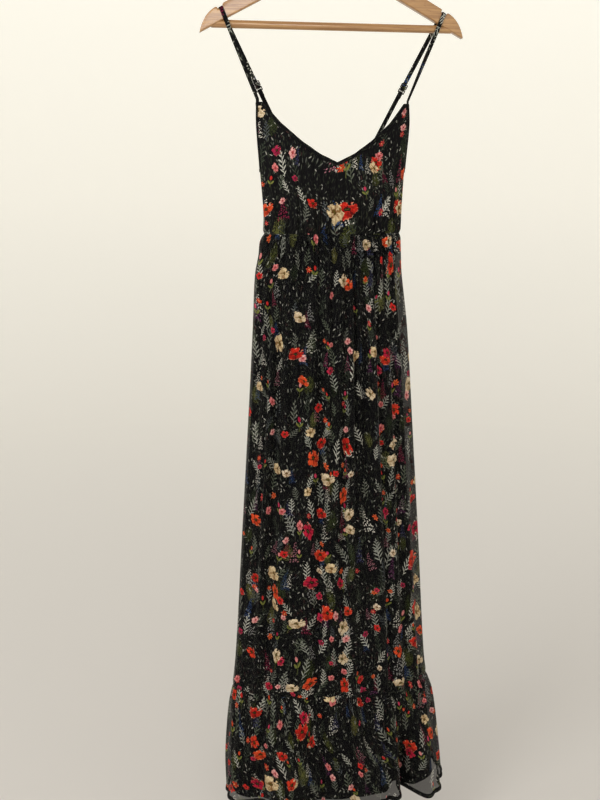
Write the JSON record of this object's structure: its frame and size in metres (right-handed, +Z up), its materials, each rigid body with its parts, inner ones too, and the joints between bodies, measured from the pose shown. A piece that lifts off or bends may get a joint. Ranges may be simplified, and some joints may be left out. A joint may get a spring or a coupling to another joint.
{
  "type": "maxi dress on a wooden hanger",
  "caption": "Sleeveless maxi dress of sheer printed cloth with V neck, thin straps, gathered lined skirt and ruffle hem, hung on a wooden hanger with bar and hook.",
  "frame": {"origin": "inner top of the hanger's hook, where it bears on a rail", "axes": "+Z up along the hanging dress, front of the dress towards -Y, +X to the right seen from the front"},
  "size_m": [0.4498, 0.2029, 1.5836],
  "materials": {
    "printed_chiffon": "sheer crinkled chiffon, black with a multicolour flower print",
    "black_lining": "smooth matt woven lining",
    "black_binding": "folded self-cloth binding",
    "black_metal": "gloss black enamel",
    "hanger_wood": "clear gloss lacquer",
    "hook_steel": "bright plated wire"
  },
  "bodies": {
    "root": {"hanger_body": "hanger_wood", "hanger_bar": "hanger_wood", "hanger_hook": "hook_steel", "bodice_front": "printed_chiffon", "bodice_back": "printed_chiffon", "neck_binding": "black_binding", "back_binding": "black_binding", "armhole_binding_left": "black_binding", "armhole_binding_right": "black_binding", "strap_left": "printed_chiffon", "strap_right": "printed_chiffon", "strap_tab_left": "printed_chiffon", "strap_tab_right": "printed_chiffon", "slider_left": "black_metal", "slider_right": "black_metal", "ring_left": "black_metal", "ring_right": "black_metal", "skirt_front": "printed_chiffon", "skirt_back": "printed_chiffon", "lining_front": "black_lining", "lining_back": "black_lining", "ruffle_front": "printed_chiffon", "ruffle_back": "printed_chiffon", "hem_front": "black_binding", "hem_back": "black_binding"}
  },
  "joints": []
}
